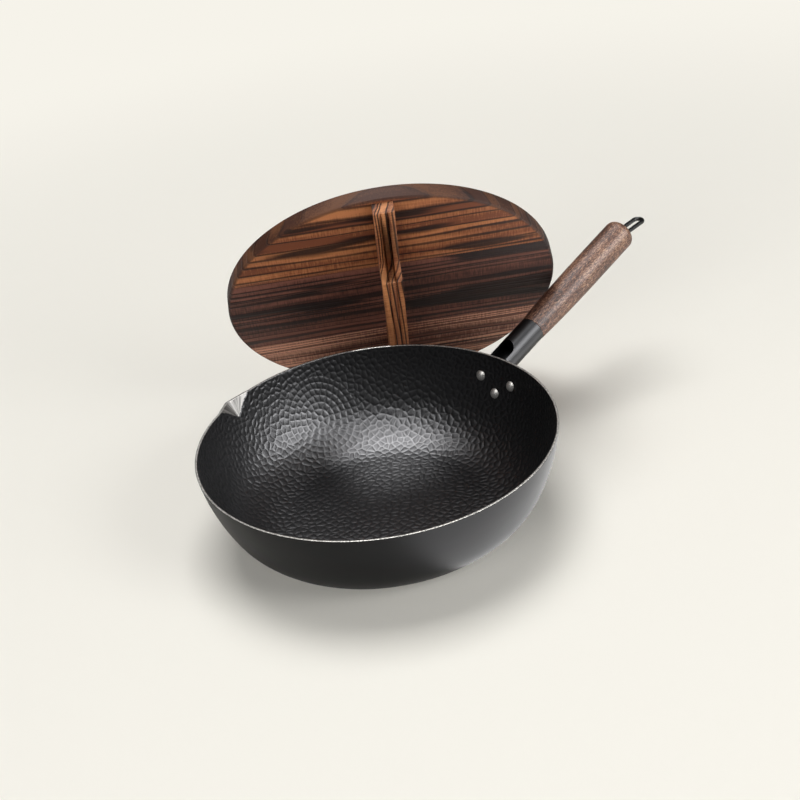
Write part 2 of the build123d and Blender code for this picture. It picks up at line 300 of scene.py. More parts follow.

# %% [markdown]
# ## Bare ground steel
# The rim edge and the pouring fold are ground after blackening. A belt leaves fine parallel
# scratches, so the steel is bright but never a mirror. A brushed shader could do it with
# anisotropy, but stretched noise is plainer and survives the export: fine across the
# scratch, long along it. On the rim the scratches stand upright. In the fold the belt ran
# from the lip down to the tip, so there the noise reads a fan that the mesh carries as an
# attribute, and that steel gets darker greys than the rim's, a painted shade that dims its
# reflection.

# %% Ground steel of the rim and the fold
scratch_width = 0.7 * mm  # drawn coarser than real, or it would blur away
scratch_squeeze = 0.05  # coordinates along a scratch, so that it is 20 times as long as wide
scratch_depth = 0.02 * mm


def ground_steel(name, scratch_place, stops):
    """Bright carbon steel with fine grinding scratches, drawn where scratch_place says."""
    material, tree, shader = new_material(name)
    pattern = {"Vector": scratch_place(tree), "Scale": 1 / (2 * scratch_width), "Detail": 2.0}
    height = node(tree, "ShaderNodeTexNoise", pattern).outputs["Fac"]
    tone = node(tree, "ShaderNodeValToRGB", {"Fac": height}, stops=stops).outputs["Color"]
    bump = node(tree, "ShaderNodeBump", {"Height": height, "Distance": scratch_depth, "Strength": 0.6})
    links = {"Base Color": tone, "Normal": bump.outputs["Normal"]}
    finish_material(tree, shader, links, Roughness=0.5, Metallic=0.75)
    return material


def upright(tree):
    """Coordinates squeezed upright, for scratches that cross the rim."""
    place = node(tree, "ShaderNodeTexCoord").outputs["Object"]
    squeezed = {"Vector": place, "Scale": (1.0, 1.0, scratch_squeeze)}
    return node(tree, "ShaderNodeMapping", squeezed).outputs["Vector"]


def fanned(tree):
    """Coordinates of the fold's fan, for scratches that run from the lip down to its tip."""
    return node(tree, "ShaderNodeAttribute", attribute_name="fan").outputs["Vector"]


rim_greys = [(0.36, "#6f6e6b"), (0.64, "#dedbd5")]
# painted shade: the fold's greys are darker than the rim's to dim its reflection
fold_greys_painted_darker = [(0.36, "#5a5957"), (0.64, "#9d9b98")]
steel_ground = ground_steel("ground carbon steel, rim", upright, rim_greys)
steel_folded = ground_steel("ground carbon steel, fold", fanned, fold_greys_painted_darker)
steels = (steel_hammered, steel_outside, steel_ground, steel_folded)
finish_hammered, finish_outside, finish_ground, finish_folded = range(len(steels))
print("finish numbers:", {number: steel.name for number, steel in enumerate(steels)})

# %% [markdown]
# ## The shape of the bowl
# The bowl's outline is three pieces: a flat base, a corner arc and a wall arc that bows out.
# A lathe would give long thin faces at the rim and crowded ones in the middle. Rings whose
# number of points follows their size keep every triangle about alike, which the hammer marks
# need, so the mesh is made ring by ring. The outline says where those rings lie.

# %% Outline of the bowl
bowl_low, bowl_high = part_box("bowl")
rim_radius = -bowl_low.x
bowl_height = bowl_high.z
base_radius = 89.0 * mm
corner_radius = 61.5 * mm
corner_turn = radians(64.3)
sheet = 1.8 * mm
wall_slant = 1.04  # way along the wall for each step of height

foot_radius = base_radius + corner_radius * sin(corner_turn)
foot_height = corner_radius * (1 - cos(corner_turn))
wall_rise = bowl_height - foot_height
wall_spread = rim_radius - foot_radius
bow = 2 * (wall_rise * cos(corner_turn) - wall_spread * sin(corner_turn))
wall_arc = (wall_rise**2 + wall_spread**2) / bow
wall_middle = Vector((foot_radius - wall_arc * sin(corner_turn), foot_height + wall_arc * cos(corner_turn)))
print("rim radius %.1f mm, wall arc %.1f mm" % (rim_radius / mm, wall_arc / mm))


def wall_radius(height, inset):
    """Radius of the wall at a height, its outer surface moved in by inset."""
    return wall_middle.x + sqrt((wall_arc - inset) ** 2 - (height - wall_middle.y) ** 2)


def outline(inset, spacing, top_spacing, top_depth):
    """Points (radius, height, way along) from the middle of the base up to the rim."""
    points = []
    way = 0.0
    while way < base_radius:
        points.append((way, inset, way))
        way += spacing
    arc_radius = corner_radius - inset
    length = arc_radius * corner_turn
    steps = round(length / spacing)
    for k in range(steps):
        angle = corner_turn * k / steps
        point = (base_radius + arc_radius * sin(angle), corner_radius - arc_radius * cos(angle))
        points.append((*point, base_radius + arc_radius * angle))
    start = corner_radius - arc_radius * cos(corner_turn)
    heights = list(np.arange(start, bowl_height - top_depth, spacing))
    heights += list(np.linspace(bowl_height - top_depth, bowl_height, round(top_depth / top_spacing) + 1))
    for height in heights:
        way = base_radius + length + (height - start) * wall_slant
        points.append((wall_radius(height, inset), height, way))
    return points


# %% [markdown]
# ## The pouring fold
# One blow of a former pushes the rim out into a V with two flat sides. The V could be
# sculpted or cut in, but a rule keeps it as exact as the tool that made it: a point of the
# wall that lies inside the V is moved straight out onto the nearer side, and the rim is
# lowered a little towards the lip. Both skins of the sheet are moved in this way, so it
# keeps its thickness in the fold.

# %% Fold geometry
spout_turn = radians(104.25)
spout_half = 21.0 * mm
spout_depth = 17.0 * mm
spout_reach = 8.0 * mm
spout_drop = 3.0 * mm
fold_margin = 1.2  # points further to the side than this many half widths stay where they are

tip_height = bowl_height - spout_depth
tip = Vector((wall_radius(tip_height, sheet), 0, tip_height))
brim = wall_radius(bowl_height, sheet)
corner = Vector((sqrt(brim**2 - spout_half**2), spout_half, bowl_height))
lip = Vector((brim + spout_reach, 0, bowl_height - spout_drop))
facet_out = (corner - tip).cross(lip - tip).normalized()
print("fold %.0f mm wide, %.0f mm deep" % (2 * spout_half / mm, spout_depth / mm))


def fold(x, y, z, skin):
    """Move a wall point onto the fold's side if it lies within the fold."""
    side = abs(y)
    if x < 0 or side > spout_half * fold_margin or z < tip_height - spout_depth:
        return x, z, False
    share = min(side / spout_half, 1.0)
    crease = tip_height + spout_depth * share
    if z > crease and share < 1:
        top = bowl_height - spout_drop * (1 - share)
        z = crease + (z - crease) * (top - crease) / (bowl_height - crease)
    flat = tip.x + (skin - facet_out.y * side - facet_out.z * (z - tip_height)) / facet_out.x
    inside = flat > x
    return max(x, flat), z, inside


# %% [markdown]
# ## Zipping rings together
# A pressed sheet has no seams, so its mesh should have none either. Two rings with
# different counts could be left to a bridge tool, which guesses. Here they are joined by
# walking round both and always taking the point that comes next, which gives one clean strip
# of triangles. Each point also gets its place on the flat plan, its place in the fold's fan,
# and how deep a hammer mark may go there. Each triangle gets the number of its steel.

# %% Rings and strips
inner_spacing = 1.45 * mm
outer_spacing = 6.0 * mm
fold_spacing = 0.75 * mm
fold_overlap = 1.5 * mm  # close rings start this far below the fold
rim_fade = 2.5 * mm
spout_cos, spout_sin = cos(spout_turn), sin(spout_turn)

points, plans, fans, inside, triangles, finishes, folded = [], [], [], [], [], [], []


def add_ring(radius, height, way, count, skin, is_inner):
    """Add one ring of points and return (first index, count)."""
    first = len(points)
    for k in range(count):
        angle = 2 * pi * k / count
        x, y = radius * cos(angle), radius * sin(angle)
        x, z, in_fold = fold(x, y, height, skin)
        turned = angle + spout_turn
        points.append((x * spout_cos - y * spout_sin, x * spout_sin + y * spout_cos, z))
        plans.append((way * cos(turned), way * sin(turned), 0.0))
        spread = atan2(y, max(z - tip_height, fold_spacing))
        fans.append((spread * spout_depth, 0.0, (z - tip_height) * scratch_squeeze))
        fade = min(1.0, max(0.0, (bowl_height - height) / rim_fade))
        inside.append(fade if is_inner and not in_fold else 0.0)
        folded.append(in_fold)
    return first, count


def zip_rings(below, above, flip, finish):
    """Join two rings with a strip of triangles."""
    (a, n), (b, m) = below, above
    i = j = 0
    while i < n or j < m:
        if j >= m or (i < n and (i + 1) / n <= (j + 1) / m):
            face = (a + i % n, a + (i + 1) % n, b + j % m)
            i += 1
        else:
            face = (a + i % n, b + (j + 1) % m, b + j % m)
            j += 1
        triangles.append(face[::-1] if flip else face)
        finishes.append(finish)


print("rings every %.2f mm inside, %.1f mm outside" % (inner_spacing / mm, outer_spacing / mm))

# %% [markdown]
# ## Two skins and a rim
# A Solidify modifier could thicken one surface, but the inside needs close rings for its
# marks and the outside doesn't. So the sheet is two skins, and one last strip between their
# top rings is the ground edge. A triangle of the inner skin whose three points all lie in
# the fold is bare ground steel as well.

# %% Build both skins


def add_skin(inset, spacing, is_inner, top_count):
    """One skin of the sheet from the middle of the base to the rim; returns its top ring."""
    rings = outline(inset, spacing, fold_spacing, spout_depth + fold_overlap)
    skin = 0.0 if is_inner else sheet
    finish = finish_hammered if is_inner else finish_outside
    previous = None
    for number, (radius, height, way) in enumerate(rings):
        if radius == 0:
            count = 1
        elif not is_inner and height > tip_height - 2 * mm:
            count = top_count // 2
        else:
            count = max(6, round(2 * pi * radius / spacing))
        if number == len(rings) - 1:
            count = top_count
        ring = add_ring(radius, height, way, count, skin, is_inner)
        if previous:
            zip_rings(previous, ring, flip=not is_inner, finish=finish)
        previous = ring
    return previous


top_count = 2 * round(pi * rim_radius / inner_spacing)
inner_top = add_skin(sheet, inner_spacing, True, top_count)
outer_top = add_skin(0.0, outer_spacing, False, top_count)
zip_rings(inner_top, outer_top, flip=False, finish=finish_ground)
for number, face in enumerate(triangles):
    if finishes[number] == finish_hammered and all(folded[k] for k in face):
        finishes[number] = finish_folded
print("bowl points", len(points), "triangles", len(triangles))

# %% [markdown]
# ## A mesh that remembers its plan
# The hammer and the belt both need to know where they are on the sheet. UV maps could hold
# that, but a named attribute says what it means, and shaders and Geometry Nodes both read
# it. So the four lists go onto the mesh under their names.

# %% Plain mesh of the bowl
plain_mesh = bpy.data.meshes.new("bowl_plain")
plain_mesh.from_pydata(points, [], triangles)
for name, kind, domain, field, values, precision in (
    ("plan", "FLOAT_VECTOR", "POINT", "vector", plans, np.float32),
    ("fan", "FLOAT_VECTOR", "POINT", "vector", fans, np.float32),
    ("inside", "FLOAT", "POINT", "value", inside, np.float32),
    ("finish", "INT", "FACE", "value", finishes, np.int32),
):
    layer = plain_mesh.attributes.new(name, kind, domain)
    layer.data.foreach_set(field, np.array(values, dtype=precision).ravel())
plain_mesh.materials.append(steel_hammered)
plain_mesh.shade_smooth()
bowl_plain = bpy.data.objects.new("bowl_plain", plain_mesh)
bpy.context.collection.objects.link(bowl_plain)
print("attributes:", [layer.name for layer in plain_mesh.attributes if not layer.is_internal])

# %% [markdown]
# ## Hammering with Geometry Nodes
# Each mark sinks the sheet about a third of a millimetre in its middle. Bump alone could
# fake that in the picture, but the exported mesh would be smooth, so the points themselves
# move: Set Position sinks each one by how far it is from a ridge. The shader draws the same
# ridges and gives them a painted highlight, so those that it lightens are those that stand
# up. The tree then gives each face the steel that its finish number names.

# %% Hammer tree
mark_flank = 0.5  # in marks, from the ridge to the full depth


def hammer_tree():
    """Geometry Nodes tree that sinks the marks and sets the four steels."""
    tree = bpy.data.node_groups.new("hammer marks", "GeometryNodeTree")
    interface = tree.interface
    interface.new_socket("Geometry", in_out="INPUT", socket_type="NodeSocketGeometry")
    for name, size in (("Mark Size", mark_size), ("Mark Depth", mark_depth)):
        socket = interface.new_socket(name, in_out="INPUT", socket_type="NodeSocketFloat")
        socket.default_value = size
    interface.new_socket("Geometry", in_out="OUTPUT", socket_type="NodeSocketGeometry")
    start = node(tree, "NodeGroupInput").outputs
    carried = {}
    for name, kind in (("plan", "FLOAT_VECTOR"), ("inside", "FLOAT"), ("finish", "INT")):
        read = node(tree, "GeometryNodeInputNamedAttribute", {"Name": name}, data_type=kind)
        carried[name] = read.outputs["Attribute"]
    ridges = mark_ridges(tree, carried["plan"], start["Mark Size"])
    flank = {"Value": ridges, "From Max": mark_flank, "To Min": 0.0, "To Max": -1.0}
    sunk = node(tree, "ShaderNodeMapRange", flank, interpolation_type="SMOOTHSTEP").outputs[0]
    for factor in (carried["inside"], start["Mark Depth"]):
        sunk = node(tree, "ShaderNodeMath", {0: sunk, 1: factor}, operation="MULTIPLY").outputs[0]
    normal = node(tree, "GeometryNodeInputNormal").outputs[0]
    shift = node(tree, "ShaderNodeVectorMath", {0: normal, "Scale": sunk}, operation="SCALE").outputs[0]
    moved = node(tree, "GeometryNodeSetPosition", {"Geometry": start["Geometry"], "Offset": shift})
    geometry = node(tree, "GeometryNodeRealizeInstances", {"Geometry": moved.outputs[0]}).outputs[0]
    for number, steel in enumerate(steels):
        same = {2: carried["finish"], 3: number}
        chosen = node(tree, "FunctionNodeCompare", same, data_type="INT", operation="EQUAL").outputs[0]
        steeled = {"Geometry": geometry, "Selection": chosen, "Material": steel}
        geometry = node(tree, "GeometryNodeSetMaterial", steeled).outputs[0]
    node(tree, "NodeGroupOutput", {"Geometry": geometry})
    return tree


def set_inputs(modifier, values):
    """Set a modifier's inputs by their sockets' identifiers."""
    for item in modifier.node_group.interface.items_tree:
        if item.in_out == "INPUT" and item.name in values:
            modifier[item.identifier] = values[item.name]


def baked(plain, name):
    """A plain mesh object made from an object with its modifiers applied."""
    evaluated = plain.evaluated_get(bpy.context.evaluated_depsgraph_get())
    mesh = bpy.data.meshes.new_from_object(evaluated, depsgraph=bpy.context.evaluated_depsgraph_get())
    made = bpy.data.objects.new(name, mesh)
    bpy.context.collection.objects.link(made)
    bpy.data.objects.remove(plain)
    return made


modifier = bowl_plain.modifiers.new("hammer", "NODES")
modifier.node_group = hammer_tree()
set_inputs(modifier, {"Mark Size": mark_size, "Mark Depth": mark_depth})

bowl = baked(bowl_plain, "hammered_bowl")
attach(bowl, "wok")
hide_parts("bowl")
print("hammered bowl faces", len(bowl.data.polygons), [m.name for m in bowl.data.materials])

# %% [markdown]
# ## Socket, rivets, loop and rod
# The socket is the same steel as the pan, but drawn and tumbled, so it is a shade lighter.
# Rivet heads and the rod are bright steel that a tumbling barrel has dented finely, which
# breaks up their highlights. The loop is wire dipped in black lacquer, glossier than
# blackened steel and no metal to the eye. They could be modelled again, but the packed
# solids already have these shapes, so they are only dressed.

# %% Dress the metal fittings
dent_size = mm / 0.8  # 1.25 mm
dent_depth = 0.06 * mm
dent_gloss, dent_dulling = 0.08, 0.1  # off and on the steel's own roughness


def tumbled_steel(name, code, roughness, metallic):
    """Bright steel with the fine dents of a tumbling barrel."""
    material, tree, shader = new_material(name)
    place = node(tree, "ShaderNodeTexCoord").outputs["Object"]
    dents = node(
        tree, "ShaderNodeTexNoise", {"Vector": place, "Scale": 1 / dent_size, "Detail": 2.0}
    ).outputs["Fac"]
    bump = node(tree, "ShaderNodeBump", {"Height": dents, "Distance": dent_depth, "Strength": 0.6})
    dulled = {"Value": dents, "To Min": roughness - dent_gloss, "To Max": roughness + dent_dulling}
    rough = node(tree, "ShaderNodeMapRange", dulled).outputs[0]
    links = {"Normal": bump.outputs["Normal"], "Roughness": rough}
    finish_material(tree, shader, links, Base_Color=colour(code), Metallic=metallic)
    return material


socket_steel = smooth_steel("drawn steel, satin black", "#39393a", 0.38, 1.0)
rivet_steel = tumbled_steel("tumbled steel rivet", "#adaba7", 0.46, 0.7)
rod_steel = tumbled_steel("zinc plated steel rod", "#8f9296", 0.4, 1.0)
lacquered_wire = smooth_steel("black lacquered wire", "#121212", 0.24, 0.0)

fittings = {
    "handle_socket": socket_steel,
    "rivet_upper_left": rivet_steel,
    "rivet_upper_right": rivet_steel,
    "rivet_lower": rivet_steel,
    "tie_rod": rod_steel,
    "socket_plug": rod_steel,
    "hanging_loop": lacquered_wire,
}
for name, material in fittings.items():
    dress(name, material)
print("dressed fittings:", len(fittings))

# %% [markdown]
# ## The grip
# A dark open-pored hardwood, turned and oiled. From a step away it reads as brown with pale
# and dark flecks that run along the grip: pores cut open lengthways. Year rings would be the
# usual way to draw wood, but this kind hardly shows them. Two stretched noises give the
# flecks, and a slow one gives the cloudy change of tone.

# %% Oiled hardwood grip
fleck_size = mm / 0.8  # 1.25 mm across the grain
pore_size = mm / 1.4  # 0.7 mm
tone_size = mm / 0.06  # 17 mm
grain_squeeze = 0.36  # flecks are nearly three times as long as wide
fleck_depth = 0.12 * mm
tone_share, tone_shift = 0.4, -0.2  # so that the slow tone adds nothing on average
pore_core, pore_edge = 0.34, 0.44  # on the scale of the pores' noise
walnut_browns = [(0.34, "#2d1912"), (0.45, "#573629"), (0.53, "#825843"), (0.65, "#c09a7c")]


def oiled_hardwood():
    """Dark open-pored hardwood, oiled: flecks along the grain, soft sheen."""
    material, tree, shader = new_material("oiled walnut")
    place = along_piece(tree, handle_turn, grip_middle)
    squeezed = {"Vector": place, "Scale": (grain_squeeze, 1.0, 1.0)}
    long_way = node(tree, "ShaderNodeMapping", squeezed).outputs["Vector"]
    drawn = []
    for size, detail, roughness in ((fleck_size, 6.0, 0.75), (tone_size, 3.0, 0.5), (pore_size, 2.0, 0.5)):
        noise = {"Vector": long_way, "Scale": 1 / size, "Detail": detail, "Roughness": roughness}
        drawn.append(node(tree, "ShaderNodeTexNoise", noise).outputs["Fac"])
    fibre, slow, pores = drawn
    shifted = {0: slow, 1: tone_share, 2: tone_shift}
    clouds = node(tree, "ShaderNodeMath", shifted, operation="MULTIPLY_ADD").outputs[0]
    tone = node(tree, "ShaderNodeMath", {0: fibre, 1: clouds}, operation="ADD").outputs[0]
    wood = node(tree, "ShaderNodeValToRGB", {"Fac": tone}, stops=walnut_browns).outputs["Color"]
    opened = {"Value": pores, "From Min": pore_core, "From Max": pore_edge, "To Min": 1.0, "To Max": 0.0}
    pore = node(tree, "ShaderNodeMapRange", opened).outputs[0]
    filled = {"Factor": pore, 6: wood, 7: colour("#1d100b")}
    dark = node(tree, "ShaderNodeMix", filled, data_type="RGBA").outputs[2]
    bump = node(tree, "ShaderNodeBump", {"Height": tone, "Distance": fleck_depth, "Strength": 0.6})
    links = {"Base Color": dark, "Normal": bump.outputs["Normal"]}
    finish_material(tree, shader, links, Roughness=0.46)
    return material


grip_wood = oiled_hardwood()
dress("grip", grip_wood)
print("grip:", grip_wood.name)

# %% [markdown]
# ## Year rings of the lid
# The boards are fir. Its year rings cross a board as lines of uneven width, a hard dark
# winter line after each soft summer band. A banded wave could draw them, but all its bands
# are alike. A Voronoi pattern in one dimension gives uneven ones: its edges are the winter
# lines, its cells the summer bands, each with a tone of its own that fades across the cell.
# A slow noise sways the rings along the board, and another one lets them grow wide and
# narrow by turns.

# %% Year rings
grain_sway = 26 * mm
growth_swing = 30 * mm
sway_size = mm / 0.018  # 56 mm
growth_size = mm / 0.03  # 33 mm
sway_squeeze = 0.14
ring_slant = 0.4  # the rings shift by this much of the way through the board
band_fade = 0.3  # how much a band's tone changes from one winter line to the next
line_core, line_edge = 0.07, 0.22  # half widths of a winter line, in ring gaps


def year_rings(tree, board, line_gap):
    """Return the swayed board plan, the winter lines and the tones of the bands."""
    squeezed = {"Vector": board, "Scale": (sway_squeeze, 1.0, 1.0)}
    long_way = node(tree, "ShaderNodeMapping", squeezed).outputs["Vector"]
    sway = node(
        tree, "ShaderNodeTexNoise", {"Vector": long_way, "Scale": 1 / sway_size, "Detail": 3.5}
    ).outputs["Fac"]
    parts = node(tree, "ShaderNodeSeparateXYZ", {"Vector": board}).outputs
    across = parts["Y"]
    for part, share in ((sway, grain_sway), (parts["Z"], ring_slant)):
        across = node(tree, "ShaderNodeMath", {0: part, 1: share, 2: across}, operation="MULTIPLY_ADD")
        across = across.outputs[0]
    growth = node(
        tree, "ShaderNodeTexNoise", {"W": across, "Scale": 1 / growth_size}, noise_dimensions="1D"
    ).outputs["Fac"]
    swung = {0: growth, 1: growth_swing, 2: across}
    grown = node(tree, "ShaderNodeMath", swung, operation="MULTIPLY_ADD").outputs[0]
    years = {"W": grown, "Scale": 1 / line_gap, "Randomness": 1.0}
    edge = node(tree, "ShaderNodeTexVoronoi", years, voronoi_dimensions="1D", feature="DISTANCE_TO_EDGE")
    near = {"Value": edge.outputs["Distance"], "From Min": line_core, "From Max": line_edge}
    darkening = {**near, "To Min": 1.0, "To Max": 0.0}
    line = node(tree, "ShaderNodeMapRange", darkening, interpolation_type="SMOOTHSTEP").outputs[0]
    band = node(tree, "ShaderNodeTexVoronoi", years, voronoi_dimensions="1D", feature="F1").outputs
    above = node(tree, "ShaderNodeMath", {0: grown, 1: band["W"]}, operation="SUBTRACT").outputs[0]
    own_tone = node(tree, "ShaderNodeSeparateColor", {"Color": band["Color"]}).outputs[0]
    faded = {0: above, 1: -band_fade / line_gap, 2: own_tone}
    band_tone = node(tree, "ShaderNodeMath", faded, operation="MULTIPLY_ADD").outputs[0]
    plan = node(tree, "ShaderNodeCombineXYZ", {"X": parts["X"], "Y": across, "Z": parts["Z"]}).outputs[0]
    return plan, line, band_tone


print("rings sway over %.0f mm of the board" % (sway_size / mm))

# %% [markdown]
# ## Fire and brush
# A flame turned the winter lines nearly black and burnt some patches right through, and a
# wire brush then took the soft wood down, so the lines both darken and stand up. Painting
# the patches would tie them to one board, so noises place them: slow ones for the patches
# and clouds, one drawn out along the grain for the fibres, and one drawn across it for the
# marks of the brush.

# %% Burnt patches, fibres and brush marks
patch_size = mm / 0.03  # 33 mm
fibre_size = mm / 0.6  # 1.7 mm
brush_size = mm / 0.7  # 1.4 mm
cloud_size = 20 * mm
patch_edge = 0.06  # how softly a burnt patch ends, on the scale of its noise


def fire_and_brush(tree, board, plan, patch_start):
    """Return the burnt patches, the fibres, the brush marks and the slow clouds."""
    drawn = []
    for place, squeeze, size, detail in (
        (plan, (0.12, 1.0, 1.0), patch_size, 2.0),
        (plan, (0.04, 1.0, 1.0), fibre_size, 4.0),
        (board, (1.0, 0.1, 1.0), brush_size, 3.0),
        (plan, (0.12, 1.0, 1.0), cloud_size, 3.0),
    ):
        squeezed = node(tree, "ShaderNodeMapping", {"Vector": place, "Scale": squeeze}).outputs["Vector"]
        noise = {"Vector": squeezed, "Scale": 1 / size, "Detail": detail}
        drawn.append(node(tree, "ShaderNodeTexNoise", noise).outputs["Fac"])
    fire, fibre, brush, cloud = drawn
    burning = {"Value": fire, "From Min": patch_start, "From Max": patch_start + patch_edge}
    patch = node(tree, "ShaderNodeMapRange", burning, interpolation_type="SMOOTHSTEP").outputs[0]
    return patch, fibre, brush, cloud


print("burnt patches about %.0f mm across the grain" % (patch_size / mm))

# %% [markdown]
# ## The woods of the lid
# The three boards and the bar were sawn from different places of the tree, so each has its
# own ring gap, tones and share of burnt patches. The striped board's pale stripes are its own,
# but its tones and the bar's are also lifted paler: painted light against the shade that falls
# on them. One material could serve them all, but then the grain would run through the joints
# as through one plank. So one function makes a material for each, shifted to another place in
# the pattern. The cut edge of the lid is charred all round. Bamboo has the same build, close
# lines and no fire, so the hidden pegs use it too.

# %% Charred fir and bamboo
lid_radius = 156.5 * mm
edge_char = 0.8
edge_char_start, edge_char_full = lid_radius - 3 * mm, lid_radius - 1 * mm
relief_depth = 0.5 * mm
fibre_share, brush_share, band_share = 0.35, 0.6, 0.34  # of each pattern in the wood's tone
palest, darkest = 0.9, 1.4  # the tones between which the wood goes from pale to middle brown
cool_line, hot_line = 0.8, 1.0  # how black a winter line gets where the clouds are low or high
char_share = 0.93  # how much of the burnt colour covers the wood


def charred_fir(name, shift, line_gap, patch_start, tones, quarter_turns=0):
    """Charred and brushed fir; tones are pale, middle and burnt; x runs along the grain."""
    material, tree, shader = new_material(name)
    place = along_piece(tree, lid_turn, lid_middle)
    turned = {"Vector": place, "Location": shift, "Rotation": (0.0, 0.0, quarter_turns * pi / 2)}
    board = node(tree, "ShaderNodeMapping", turned).outputs["Vector"]
    plan, line, band_tone = year_rings(tree, board, line_gap)
    patch, fibre, brush, cloud = fire_and_brush(tree, board, plan, patch_start)

    tone = cloud
    for part, share in ((fibre, fibre_share), (brush, brush_share), (band_tone, band_share)):
        tone = node(tree, "ShaderNodeMath", {0: part, 1: share, 2: tone}, operation="MULTIPLY_ADD").outputs[0]
    pale, middle, burnt = tones
    browning = {"Value": tone, "From Min": palest, "From Max": darkest}
    depth = node(tree, "ShaderNodeMapRange", browning).outputs[0]
    browns = [(0.1, pale), (0.8, middle)]
    wood = node(tree, "ShaderNodeValToRGB", {"Fac": depth}, stops=browns).outputs["Color"]

    flat = node(tree, "ShaderNodeVectorMath", {0: place, 1: (1.0, 1.0, 0.0)}, operation="MULTIPLY").outputs[0]
    reach = node(tree, "ShaderNodeVectorMath", {0: flat}, operation="LENGTH").outputs["Value"]
    edge = {"Value": reach, "From Min": edge_char_start, "From Max": edge_char_full, "To Max": edge_char}
    cut_edge = node(tree, "ShaderNodeMapRange", edge).outputs[0]
    heat = {"Value": cloud, "From Min": 0.35, "From Max": 0.6, "To Min": cool_line, "To Max": hot_line}
    heated = node(tree, "ShaderNodeMapRange", heat).outputs[0]
    char = node(tree, "ShaderNodeMath", {0: line, 1: heated}, operation="MULTIPLY").outputs[0]
    for other in (patch, cut_edge):
        char = node(tree, "ShaderNodeMath", {0: char, 1: other}, operation="MAXIMUM").outputs[0]
    shade = node(tree, "ShaderNodeMath", {0: char, 1: char_share}, operation="MULTIPLY").outputs[0]
    layers = {"Factor": shade, 6: wood, 7: colour(burnt)}
    skin = node(tree, "ShaderNodeMix", layers, data_type="RGBA").outputs[2]
    raised = {0: fibre, 1: fibre_share, 2: line}
    height = node(tree, "ShaderNodeMath", raised, operation="MULTIPLY_ADD").outputs[0]
    bump = node(tree, "ShaderNodeBump", {"Height": height, "Distance": relief_depth, "Strength": 0.6})
    links = {"Base Color": skin, "Normal": bump.outputs["Normal"]}
    finish_material(tree, shader, links, Roughness=0.62, Specular_IOR_Level=0.25)
    return material


warm = ("#b37248", "#703e27", "#1a0d09")
plum = ("#74483b", "#3a211b", "#140a09")
# painted light: the striped board's stripes are its own, but all its tones are lifted against the shade it
# lies in behind the bowl
striped = ("#d0967b", "#6c4437", "#241411")
# painted light: the bar's tones are paler than the warm board's to lift the shade that falls on the bar
bright = ("#c98656", "#885136", "#1a0d09")
straw = ("#c9a86c", "#a8844c", "#8d6a38")
upper_fir = charred_fir("charred fir, warm board", (0.0, 0.013, 0.0), 11 * mm, 0.535, warm)
middle_fir = charred_fir("charred fir, dark board", (0.31, 0.2, 0.1), 8 * mm, 0.56, plum)
lower_fir = charred_fir("charred fir, striped board", (0.7, 0.47, 0.2), 4.5 * mm, 0.64, striped)
bar_fir = charred_fir("charred fir, bar", (0.1, 0.9, 0.4), 6 * mm, 0.74, bright, quarter_turns=1)
peg_wood = charred_fir("bamboo", (0.2, 0.3, 0.4), 2 * mm, 0.9, straw)
for name in ("lid_dowels", "bar_pegs"):
    dress(name, peg_wood)
print("woods:", [wood.name for wood in (upper_fir, middle_fir, lower_fir, bar_fir, peg_wood)])

# %% [markdown]
# ## Softened edges on the wood
# No sawn edge is perfectly sharp: sanding leaves a small round that shows as a thin line of
# light along each edge. A Bevel modifier would also cut every seam between the loose
# triangles of a packed board. So each is copied, its points are merged, its flat faces are
# joined again, and only then is every sharp edge bevelled inwards.

# %% Boards and bar with softened edges
board_round = 0.7 * mm
bar_round = 0.4 * mm
flat_angle = radians(0.6)
sharp_angle = radians(32)
crisp_angle = radians(35)


def softened(name, width, material, body):
    """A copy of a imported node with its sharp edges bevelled, riding on a body."""
    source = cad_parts[name]
    mesh = source.data.copy()
    mesh.transform(source.matrix_world)
    shape = bmesh.new()
    shape.from_mesh(mesh)
    bmesh.ops.remove_doubles(shape, verts=shape.verts, dist=0.01 * mm)
    bmesh.ops.dissolve_limit(shape, angle_limit=flat_angle, verts=shape.verts, edges=shape.edges)
    sharp = [edge for edge in shape.edges if edge.is_manifold and edge.calc_face_angle() > sharp_angle]
    bmesh.ops.bevel(
        shape, geom=sharp, offset=width, segments=2, profile=0.5, affect="EDGES", clamp_overlap=True
    )
    bmesh.ops.triangulate(shape, faces=shape.faces)
    shape.to_mesh(mesh)
    shape.free()
    mesh.materials.clear()
    mesh.materials.append(material)
    mesh.shade_smooth()
    mesh.set_sharp_from_angle(angle=crisp_angle)
    made = bpy.data.objects.new("soft_" + name, mesh)
    bpy.context.collection.objects.link(made)
    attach(made, body)
    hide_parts(name)
    print(name, "softened:", len(mesh.polygons), "faces")


softened("lid_board_upper", board_round, upper_fir, "lid")
softened("lid_board_middle", board_round, middle_fir, "lid")
softened("lid_board_lower", board_round, lower_fir, "lid")
softened("lid_bar", bar_round, bar_fir, "lid")

# %% [markdown]
# ## Camera
# The photograph looks down over the bowl with the handle going away to the right, and the
# camera was rolled a little. A camera can be placed by eye, but a round rim gives more: its
# ellipse in the picture fixes the tilt and the roll, the handle's direction fixes the turn,
# and the sizes of near and far parts fix the distance and the lens.

# %% Camera
camera_back = 1070.0 * mm
camera_height = 732.3 * mm
camera_tilt = radians(29.98)
camera_roll = radians(-8.285)
camera_yaw = radians(-1.341)
focal_pixels = 1427.3
picture_pixels = 800

camera_data = bpy.data.cameras.new("camera")
camera = bpy.data.objects.new("camera", camera_data)
bpy.context.collection.objects.link(camera)
camera_data.sensor_width = 36.0
camera_data.lens = focal_pixels / picture_pixels * camera_data.sensor_width
camera_data.clip_end = 100.0

